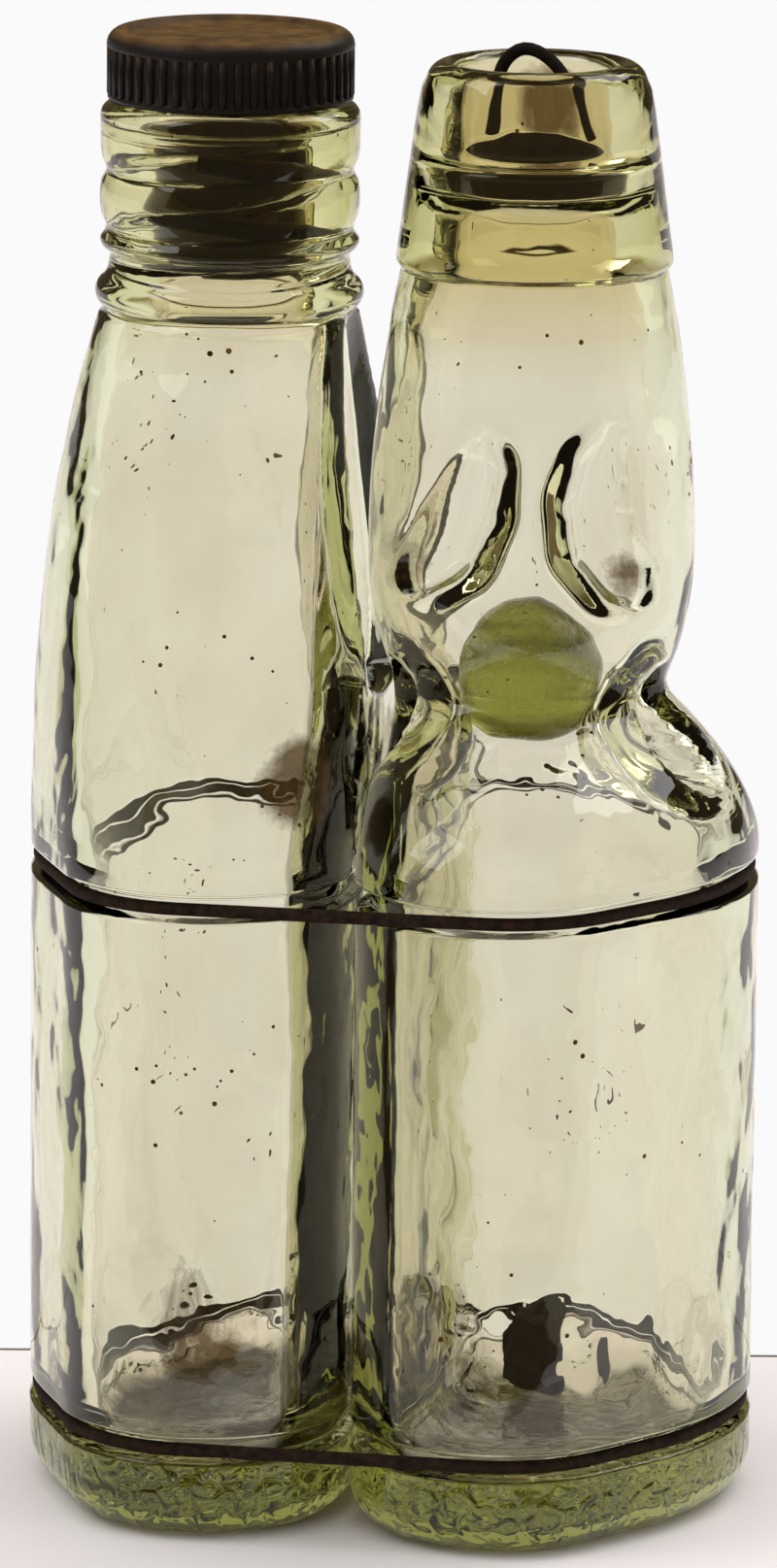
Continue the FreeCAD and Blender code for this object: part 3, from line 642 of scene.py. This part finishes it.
ballGlass = glassMesh("ballHalfGlass", ballRings(), ballHalf["axis"], 1, 11)
screwGlass = glassMesh("screwHalfGlass", screwRings(), screwHalf["axis"], -1, 23)
for piece, node in ((ballGlass, "ball_half"), (screwGlass, "screw_half")):
    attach(piece, "bottle")
    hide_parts(node)
print("glass halves made", len(ballGlass.data.polygons), len(screwGlass.data.polygons))


def lathe(name, profile, axisX, material, steps=96, closed=False):
    # piece turned about an upright axis from radius and height pairs
    mesh = bpy.data.meshes.new(name)
    work = bmesh.new()
    rings = []
    for radius, z in profile:
        if radius < 1e-6:
            rings.append([work.verts.new((axisX * mm, 0, z * mm))])
        else:
            rings.append([
                work.verts.new(((axisX + radius * math.cos(a)) * mm, radius * math.sin(a) * mm, z * mm))
                for a in np.arange(steps) * 2 * math.pi / steps
            ])
    pairs = list(zip(rings, rings[1:] + rings[:1])) if closed else list(zip(rings, rings[1:]))
    for low, high in pairs:
        for i in range(steps):
            j = (i + 1) % steps
            corners = []
            for v in (low[i % len(low)], low[j % len(low)], high[j % len(high)], high[i % len(high)]):
                if v not in corners:
                    corners.append(v)
            if len(corners) > 2:
                work.faces.new(corners)
    bmesh.ops.recalc_face_normals(work, faces=work.faces)
    work.to_mesh(mesh)
    work.free()
    mesh.polygons.foreach_set("use_smooth", [True] * len(mesh.polygons))
    mesh.materials.append(material)
    return addObject(name, mesh)


def nodeGroup(name, sockets):
    tree = bpy.data.node_groups.new(name, "GeometryNodeTree")
    tree.interface.new_socket("Geometry", in_out="INPUT", socket_type="NodeSocketGeometry")
    for label, kind in sockets:
        tree.interface.new_socket(label, in_out="INPUT", socket_type=kind)
    tree.interface.new_socket("Geometry", in_out="OUTPUT", socket_type="NodeSocketGeometry")
    return tree, addNode(tree, "NodeGroupInput").outputs


def grown(name, base, tree, values, material):
    # runs a tree on a mesh object and keeps the result as a plain mesh
    modifier = base.modifiers.new(name, "NODES")
    modifier.node_group = tree
    for item in tree.interface.items_tree:
        if item.item_type == "SOCKET" and item.in_out == "INPUT" and item.name in values:
            modifier[item.identifier] = values[item.name]
    bpy.context.view_layer.update()
    mesh = bpy.data.meshes.new_from_object(base.evaluated_get(bpy.context.evaluated_depsgraph_get()))
    base.modifiers.clear()
    bpy.data.objects.remove(base)
    mesh.name = name
    if not mesh.materials:
        mesh.materials.append(material)
    return addObject(name, mesh)


stopper = {
    "axis": -19.0, "underside": 154.8, "top": 162.5, "headRadius": 13.6, "coreRadius": 13.12,
    "ribs": 48, "ribRadius": 0.5, "ribLow": 155.45, "ribHigh": 160.7,
    "shank": 8.3, "foot": 135.62, "threadLow": 137.3, "threadPhase": 133.55, "turns": 1.85, "pitch": 6.5,
    "crest": 0.95, "dish": [(0, -0.8), (6, -0.82), (10.4, -0.75), (11.0, -0.5), (11.3, -0.12), (11.7, 0)],
}


def makeStopper(s):
    # Moulded hard rubber: dished head with a ribbed edge, and one coarse thread on its shank.
    top, head, core = s["top"], s["headRadius"], s["coreRadius"]
    ribLow, ribHigh, under, shank, low = s["ribLow"], s["ribHigh"], s["underside"], s["shank"], s["foot"]
    profile = [(reach, top + drop) for reach, drop in s["dish"]]
    profile += roundCorner(head - 1.7, top - 1.7, 1.7, 70, 0, 7)
    profile += [(head, ribHigh - 0.05), (core, ribHigh - 0.35), (core, ribLow + 0.2),
        (head - 0.1, ribLow - 0.1)]
    profile += [(head - 0.12, under + 0.15), (head - 0.3, under), (shank, under), (shank, under - 0.3)]
    profile += [(shank, low + 0.9), (shank - 0.3, low + 0.3), (shank - 0.9, low), (3.0, low + 0.05),
        (0, low + 0.1)]
    body = lathe("stopperBody", profile, s["axis"], eboniteMaterial, 144)

    sizes = [(label, "NodeSocketFloat") for label in (
        "reach", "ribRadius", "ribLength", "ribMiddle", "axis",
        "threadRadius", "threadLength", "threadLow", "turns", "crest", "start",
    )]
    sizes += [("ribs", "NodeSocketInt"), ("material", "NodeSocketMaterial")]
    tree, given = nodeGroup("stopperRibsAndThread", sizes)
    circle = addNode(tree, "GeometryNodeMeshCircle", {"Vertices": given["ribs"], "Radius": given["reach"]})
    rib = addNode(tree, "GeometryNodeMeshCone", {"Vertices": 10, "Side Segments": 1,
        "Radius Top": given["ribRadius"], "Radius Bottom": given["ribRadius"], "Depth": given["ribLength"]})
    ribLift = addNode(tree, "ShaderNodeMath", {0: given["ribLength"], 1: -0.5, 2: given["ribMiddle"]},
        operation="MULTIPLY_ADD")
    ribs = addNode(tree, "GeometryNodeInstanceOnPoints",
        {"Points": circle, "Instance": rib.outputs["Mesh"]})
    ribPlace = addNode(tree, "ShaderNodeCombineXYZ", {"X": given["axis"], "Z": ribLift})
    placedRibs = addNode(tree, "GeometryNodeTransform", {"Geometry": ribs, "Translation": ribPlace})
    helix = addNode(tree, "GeometryNodeCurveSpiral", {"Resolution": 96, "Rotations": given["turns"],
        "Start Radius": given["threadRadius"], "End Radius": given["threadRadius"],
        "Height": given["threadLength"]})
    section = addNode(tree, "GeometryNodeCurvePrimitiveCircle",
        {"Resolution": 12, "Radius": given["crest"]})
    taper = addNode(tree, "GeometryNodeSplineParameter")
    fade = addNode(tree, "ShaderNodeFloatCurve", {"Value": taper.outputs["Factor"]})
    points = fade.mapping.curves[0].points
    points[0].location, points[1].location = (0, 0.2), (1, 0.2)
    for place in ((0.06, 1.0), (0.94, 1.0)):
        points.new(*place)
    thickness = addNode(tree, "GeometryNodeSetCurveRadius", {"Curve": helix, "Radius": fade})
    thread = addNode(tree, "GeometryNodeCurveToMesh", {"Curve": thickness, "Profile Curve": section,
        "Fill Caps": True})
    turn = addNode(tree, "ShaderNodeCombineXYZ", {"Z": given["start"]})
    threadPlace = addNode(tree, "ShaderNodeCombineXYZ", {"X": given["axis"], "Z": given["threadLow"]})
    placedThread = addNode(tree, "GeometryNodeTransform", {"Geometry": thread, "Translation": threadPlace,
        "Rotation": turn})
    together = addNode(tree, "GeometryNodeJoinGeometry")
    for part in (placedThread.outputs[0], placedRibs.outputs[0], given["Geometry"]):
        tree.links.new(part, together.inputs[0])
    real = addNode(tree, "GeometryNodeRealizeInstances", {"Geometry": together})
    smooth = addNode(tree, "GeometryNodeSetShadeSmooth", {"Geometry": real})
    finish = addNode(tree, "GeometryNodeSetMaterial", {"Geometry": smooth, "Material": given["material"]})
    addNode(tree, "NodeGroupOutput", {0: finish})
    startTurn = (s["threadLow"] - s["threadPhase"]) / s["pitch"] * 2 * math.pi
    return grown("screwStopper", body, tree, {
        "ribs": s["ribs"], "reach": (core - 0.02) * mm, "ribRadius": s["ribRadius"] * mm,
        "ribLength": (ribHigh - ribLow) * mm, "ribMiddle": (ribLow + ribHigh) / 2 * mm,
        "axis": s["axis"] * mm, "threadRadius": (shank + 0.25) * mm, "threadLow": s["threadLow"] * mm,
        "threadLength": s["turns"] * s["pitch"] * mm, "turns": s["turns"], "crest": s["crest"] * mm,
        "start": startTurn, "material": eboniteMaterial,
    }, eboniteMaterial)


def wireTree():
    # round bar along a line, a little uneven as corroded or hand-bent wire is
    sizes = [(label, "NodeSocketFloat") for label in ("radius", "step", "roughness")]
    tree, given = nodeGroup("wireAlongLine", sizes + [("material", "NodeSocketMaterial")])
    line = addNode(tree, "GeometryNodeMeshToCurve", {"Mesh": given["Geometry"]})
    even = addNode(tree, "GeometryNodeResampleCurve", {"Curve": line, "Length": given["step"]},
        mode="LENGTH")
    noise = addNode(tree, "ShaderNodeTexNoise", {"Scale": 260.0, "Detail": 3.0})
    uneven = addNode(tree, "ShaderNodeMath", {0: noise.outputs["Fac"], 1: given["roughness"]},
        operation="MULTIPLY")
    size = addNode(tree, "ShaderNodeMath", {0: 1.0, 1: uneven}, operation="SUBTRACT")
    sized = addNode(tree, "GeometryNodeSetCurveRadius", {"Curve": even, "Radius": size})
    section = addNode(tree, "GeometryNodeCurvePrimitiveCircle",
        {"Resolution": 12, "Radius": given["radius"]})
    bar = addNode(tree, "GeometryNodeCurveToMesh", {"Curve": sized, "Profile Curve": section,
        "Fill Caps": True})
    smooth = addNode(tree, "GeometryNodeSetShadeSmooth", {"Geometry": bar})
    finish = addNode(tree, "GeometryNodeSetMaterial", {"Geometry": smooth, "Material": given["material"]})
    addNode(tree, "NodeGroupOutput", {0: finish})
    return tree


def wireAlong(name, points, closed, radius, unevenness, material):
    mesh = bpy.data.meshes.new(name)
    edges = [(i, i + 1) for i in range(len(points) - 1)] + ([(len(points) - 1, 0)] if closed else [])
    mesh.from_pydata([tuple(v * mm for v in p) for p in points], edges, [])
    values = {"radius": radius * mm, "step": 0.7 * mm, "roughness": unevenness, "material": material}
    return grown(name, addObject(name, mesh), barTree, values, material)


barTree = wireTree()


def bindingPath(z):
    # taut line round both halves, just under the skin of the glass
    end, corner = plan["endRadius"], plan["cornerRadius"]
    side, middles, turns = end - corner, [], []
    for half in (ballHalf, screwHalf):
        middles.append(half["width"] - end)
        along = corner - middles[-1]
        turn = math.atan2(side, along) - math.pi / 2 + math.asin(side / math.hypot(side, along))
        turns.append(math.degrees(turn))
    t, u = turns
    arcs = [
        ((middles[0], 0), end, -t, t), ((corner, side), corner, t, 90),
        ((-corner, side), corner, 90, 180 - u), ((-middles[1], 0), end, 180 - u, 180 + u),
        ((-corner, -side), corner, 180 + u, 270), ((corner, -side), corner, 270, 360 - t),
    ]
    points = []
    for (x, y), radius, start, stop in arcs:
        reach = radius - binding["sunk"]
        for a in np.radians(np.linspace(start, stop, max(3, int(abs(stop - start) / 3)))):
            points.append((x + reach * math.cos(a) + seamX, y + reach * math.sin(a), z))
    return points


def smoothLine(points, count=14):
    # passes through each point
    points = [np.array(p, float) for p in points]
    padded = [2 * points[0] - points[1]] + points + [2 * points[-1] - points[-2]]
    line = []
    for a, b, c, d in zip(padded, padded[1:], padded[2:], padded[3:]):
        for t in np.arange(count) / count:
            bend, twist = 2 * a - 5 * b + 4 * c - d, 3 * b - a - 3 * c + d
            line.append(0.5 * (2 * b + (c - a) * t + bend * t ** 2 + twist * t ** 3))
    return line + [points[-1]]


def lump(name, centre, radius, height, seed, material):
    # stub of swollen cork, chewed and worn out of round
    profile = [(0, 0), (radius * 0.6, 0.0), (radius * 0.92, 0.25), (radius, 1.0),
        (radius * 0.99, height * 0.5), (radius * 0.96, height - 1.2), (radius * 0.86, height - 0.35),
        (radius * 0.5, height), (0, height - 0.1)]
    obj = lathe(name, profile, 0, material, 72)
    work = bmesh.new()
    work.from_mesh(obj.data)
    bmesh.ops.subdivide_edges(work, edges=[e for e in work.edges if e.calc_length() > 1.2 * mm], cuts=3,
        use_grid_fill=True)
    co = np.array([v.co[:] for v in work.verts]) / mm
    dip = np.abs(ripple(co, seed, 5.0, 0.5)) + np.abs(ripple(co, seed + 1, 1.6, 0.22))
    for v, d, c in zip(work.verts, dip, co):
        inward = Vector((-c[0], -c[1], 0.25 * (height / 2 - c[2])))
        if inward.length > 0:
            v.co += inward.normalized() * float(d) * mm
        v.co.z = min(max(v.co.z, 0.0), height * mm) + centre[2] * mm
        v.co.x += centre[0] * mm
        v.co.y += centre[1] * mm
    work.to_mesh(obj.data)
    work.free()
    return obj


stopperPiece = makeStopper(stopper)
washerProfile = [
    (8.35, 152.3), (8.5, 152.12), (9.3, 152.1), (10.05, 152.16), (10.2, 152.4), (10.16, 153.5),
    (10.2, 154.5), (10.0, 154.76), (9.2, 154.8), (8.5, 154.74), (8.32, 154.4), (8.36, 153.4),
]
washerPiece = lathe("stopperWasher", washerProfile, stopper["axis"], washerRubber, closed=True)
mouthAxis = ballHalf["axis"] + seamX
ringShape = {"radius": 8.55, "height": 147.5, "outward": (1.55, 1.8), "inward": (1.3, 1.75)}
ringProfile = []
for a in np.radians(np.arange(0, 360, 20)):
    wide, tall = ringShape["outward" if math.cos(a) > 0 else "inward"]
    ringProfile.append((ringShape["radius"] + wide * math.cos(a), ringShape["height"] + tall * math.sin(a)))
ringPiece = lathe("sealingRing", ringProfile, mouthAxis, ringRubber, closed=True)
upperWire, lowerWire = [
    wireAlong(name, bindingPath(z), True, binding["radius"], binding["unevenness"], rustyIron)
    for name, z in zip(("upperWire", "lowerWire"), binding["heights"])
]
loop = [(-6.15, 4.2, 150.3), (-5.7, 4.2, 153.5), (-5.1, 4.2, 157.0), (-4.2, 4.2, 159.4),
    (-2.4, 4.2, 160.75), (-0.4, 4.2, 160.4), (1.5, 4.2, 158.9), (3.0, 4.2, 156.6), (4.6, 4.2, 153.4),
    (6.1, 4.2, 150.3)]
mouthLine = smoothLine([(x + mouthAxis, y, z) for x, y, z in loop])
mouthWire = wireAlong("mouthWire", mouthLine, False, 0.72, 0.1, darkIron)
cork = {"place": (15.0, 18.0, 7.02), "radius": 4.95, "height": 8.1, "seed": 5}
corkPiece = lump("looseCork", cork["place"], cork["radius"], cork["height"], cork["seed"], oldCork)
for piece, node, body, slot in (
    (stopperPiece, "screw_stopper", "stopper", "hard_rubber"),
    (washerPiece, "stopper_washer", "washer", "washer_rubber"),
    (ringPiece, "sealing_ring", "bottle", "ring_rubber"),
    (upperWire, "upper_wire", "bottle", "rusty_wire"),
    (lowerWire, "lower_wire", "bottle", "rusty_wire"),
    (mouthWire, "mouth_wire", "bottle", "dark_wire"),
    (corkPiece, "loose_cork", "bottle", "old_cork"),
):
    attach(piece, body)
    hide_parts(node)
print("stopper, rubbers and wires made")


def makeMarble(centre, radius):
    # pressed ball whose skin isn't quite even
    rings = []
    for i in range(49):
        a = math.pi * i / 48
        rings.append((radius * math.sin(a), centre[2] - radius * math.cos(a)))
    ball = lathe("marbleBall", rings, centre[0], marbleMaterial, 72)
    co = np.array([v.co[:] for v in ball.data.vertices]) / mm
    dip = 0.02 + np.abs(ripple(co, 77, 6.0, 0.05))
    out = (co - np.array(centre)) / radius
    ball.data.vertices.foreach_set("co", ((co - out * dip[:, None]) * mm).ravel())
    ball.data.update()
    return ball


marbleSize = {"centre": (15.0, 0.0, 92.24), "radius": 8.25}
marblePiece = makeMarble(marbleSize["centre"], marbleSize["radius"])
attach(marblePiece, "marble")
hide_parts("marble")
print("marble made")

# Millimetres and degrees; focal is in photo pixels for each millimetre at the aim, photoHeight in pixels.
cameraSettings = {
    "distance": 1151.45, "elevation": 11.95, "turn": 10.55, "roll": 0.52, "aimX": 0.27, "aimZ": 78.85,
    "focal": 9.3, "photoHeight": 1615, "sensor": 36.0,
}


def makeCamera(s):
    e, roll, turn = (math.radians(s[k]) for k in ("elevation", "roll", "turn"))
    forward = Vector((0, math.cos(e), -math.sin(e)))
    right, upward = Vector((1, 0, 0)), Vector((0, math.sin(e), math.cos(e)))
    right, upward = (
        right * math.cos(roll) + upward * math.sin(roll), upward * math.cos(roll) - right * math.sin(roll),
    )
    place = Vector((s["aimX"], 0, s["aimZ"])) - forward * s["distance"]
    spin = Matrix.Rotation(turn, 4, "Z")
    pose = Matrix((
        (right.x, upward.x, -forward.x, place.x),
        (right.y, upward.y, -forward.y, place.y),
        (right.z, upward.z, -forward.z, place.z),
        (0, 0, 0, 1),
    ))
    pose = spin @ pose
    pose.translation = (pose.translation + Vector((seamX, 0, 0))) * mm
    camera = addObject("camera", bpy.data.cameras.new("camera"))
    camera.matrix_world = pose
    camera.data.sensor_width = s["sensor"]
    camera.data.lens = s["focal"] * s["distance"] / s["photoHeight"] * s["sensor"]
    camera.data.clip_start, camera.data.clip_end = 0.05, 20
    bpy.context.scene.camera = camera


makeCamera(cameraSettings)

table = {"farEdge": 51.5, "nearEdge": 95.0, "line": 0.5, "half": 3.0}     # mm, but half its width in metres


def paleTable():
    # Matt paper on a bench: pale warm grey, with a thin line of painted shade at its far edge and white
    # beyond it. Well in front of the bottle the paper is painted dark brown in reflections and through
    # glass only, a painted reflection of a dim room.
    material, tree = newMaterial("pale paper table")
    where = addNode(tree, "ShaderNodeTexCoord").outputs["Object"]
    turn = -math.radians(cameraSettings["turn"])
    turned = addNode(tree, "ShaderNodeVectorRotate", {"Vector": where, "Angle": turn},
        rotation_type="Z_AXIS")
    along = addNode(tree, "ShaderNodeSeparateXYZ", {"Vector": turned}).outputs["Y"]
    beyond = addNode(tree, "ShaderNodeMath", {0: along, 1: table["farEdge"] * mm}, operation="GREATER_THAN")
    edgeShadeLine = addNode(tree, "ShaderNodeMath", {0: along, 1: table["farEdge"] * mm, 2: table["line"] * mm},
        operation="COMPARE")
    paper = addNode(tree, "ShaderNodeBsdfPrincipled", {"Base Color": srgb("ece5e4"), "Roughness": 0.35})
    # colour of the painted shade line along the table's far edge
    rim = addNode(tree, "ShaderNodeBsdfPrincipled", {"Base Color": srgb("6b5f55"), "Roughness": 0.8})
    path = addNode(tree, "ShaderNodeLightPath")
    seen = addNode(tree, "ShaderNodeMath", {0: path.outputs["Is Camera Ray"],
        1: path.outputs["Is Transmission Ray"]}, operation="MAXIMUM")
    white = addNode(tree, "ShaderNodeEmission", {"Color": srgb("fbfafb"), "Strength": 1.0})
    far = addNode(tree, "ShaderNodeMixShader", {0: seen, 1: paper, 2: white})
    mixed = addNode(tree, "ShaderNodeMixShader", {0: beyond, 1: paper, 2: far})
    # painted reflection: reflections and refractions of the paper well in front of the bottle see dark
    # brown, as of a dim room
    near = addNode(tree, "ShaderNodeMath", {0: along, 1: -table["nearEdge"] * mm}, operation="LESS_THAN")
    mirrored = addNode(tree, "ShaderNodeMath", {0: path.outputs["Is Glossy Ray"],
        1: path.outputs["Is Transmission Ray"]}, operation="MAXIMUM")
    dim = addNode(tree, "ShaderNodeMath", {0: near, 1: mirrored}, operation="MULTIPLY")
    paintedDimRoomReflection = addNode(tree, "ShaderNodeBsdfPrincipled", {"Base Color": srgb("6a573b"), "Roughness": 0.6})
    mixed = addNode(tree, "ShaderNodeMixShader", {0: dim, 1: mixed, 2: paintedDimRoomReflection})
    last = addNode(tree, "ShaderNodeMixShader", {0: edgeShadeLine, 1: mixed, 2: rim})
    addNode(tree, "ShaderNodeOutputMaterial", {"Surface": last})
    return material


half = table["half"]
floorCorners = [(-half, -half, 0), (half, -half, 0), (half, half, 0), (-half, half, 0)]
floor = meshObject("floor", floorCorners, [(0, 1, 2, 3)], paleTable(), smooth=False)
floor.location.z = -0.1 * mm


def studioWorld():
    # Bright white screen behind and beside the bottle, darker overhead, and a dim warm room in front.
    world = bpy.data.worlds.new("studio")
    bpy.context.scene.world = world
    world.use_nodes = True
    tree = world.node_tree
    tree.nodes.clear()
    where = addNode(tree, "ShaderNodeTexCoord").outputs["Generated"]
    height = addNode(tree, "ShaderNodeSeparateXYZ", {"Vector": where}).outputs["Z"]
    shade = addNode(tree, "ShaderNodeValToRGB", {"Fac": height})
    ramp = shade.color_ramp
    ramp.elements[0].position, ramp.elements[0].color = 0.0, (1.0, 1.0, 1.0, 1)
    ramp.elements[1].position, ramp.elements[1].color = 1.0, (0.25, 0.21, 0.12, 1)
    ramp.elements.new(0.3).color = (1.0, 1.0, 1.0, 1)
    ramp.elements.new(0.5).color = (0.38, 0.33, 0.2, 1)
    above = addNode(tree, "ShaderNodeMapRange", {"Value": height, "From Min": 0.1, "From Max": 0.75,
        "To Min": 0.22, "To Max": 1.5})
    path = addNode(tree, "ShaderNodeLightPath")
    lit = addNode(tree, "ShaderNodeBackground", {"Color": (1, 1, 1, 1), "Strength": above})
    turn = math.radians(cameraSettings["turn"])
    behind = addNode(tree, "ShaderNodeVectorMath", {0: where, 1: (-math.sin(turn), math.cos(turn), 0)},
        operation="DOT_PRODUCT")
    nearness = addNode(tree, "ShaderNodeMapRange", {"Value": behind.outputs["Value"], "From Min": -0.6,
        "From Max": 0.5, "To Min": 1.0, "To Max": 0.0})
    front = addNode(tree, "ShaderNodeMix", {0: nearness, 6: (1.1, 1.1, 1.1, 1), 7: (0.46, 0.41, 0.26, 1)},
        data_type="RGBA")
    seen = addNode(tree, "ShaderNodeMix", {0: 1.0, 6: shade.outputs["Color"], 7: front.outputs[2]},
        data_type="RGBA", blend_type="MULTIPLY")
    room = addNode(tree, "ShaderNodeBackground", {"Color": srgb("e8cf9a"), "Strength": 0.2})
    screen = addNode(tree, "ShaderNodeBackground", {"Color": seen.outputs[2], "Strength": 1.0})
    white = addNode(tree, "ShaderNodeBackground", {"Color": srgb("ffffff"), "Strength": 1.0})
    first = addNode(tree, "ShaderNodeMixShader", {0: path.outputs["Is Glossy Ray"], 1: lit, 2: room})
    through = addNode(tree, "ShaderNodeMixShader", {0: path.outputs["Is Transmission Ray"], 1: first,
        2: screen})
    second = addNode(tree, "ShaderNodeMixShader", {0: path.outputs["Is Camera Ray"], 1: through, 2: white})
    addNode(tree, "ShaderNodeOutputWorld", {"Surface": second})


studioWorld()


def softLamp(name, place, aim, size, power):
    light = bpy.data.lights.new(name, "AREA")
    light.energy, light.size = power, size    # watts, metres
    lamp = addObject(name, light)
    lamp.location = place
    lamp.rotation_euler = (Vector(aim) - Vector(place)).to_track_quat("-Z", "Y").to_euler()


softLamp("lampLeft", (-0.9, -0.5, 1.1), (0, 0, 0.08), 0.7, 4.0)
softLamp("lampRight", (0.7, 0.6, 1.1), (0, 0, 0.08), 0.8, 6.0)
bpy.context.scene.view_settings.view_transform = "Standard"
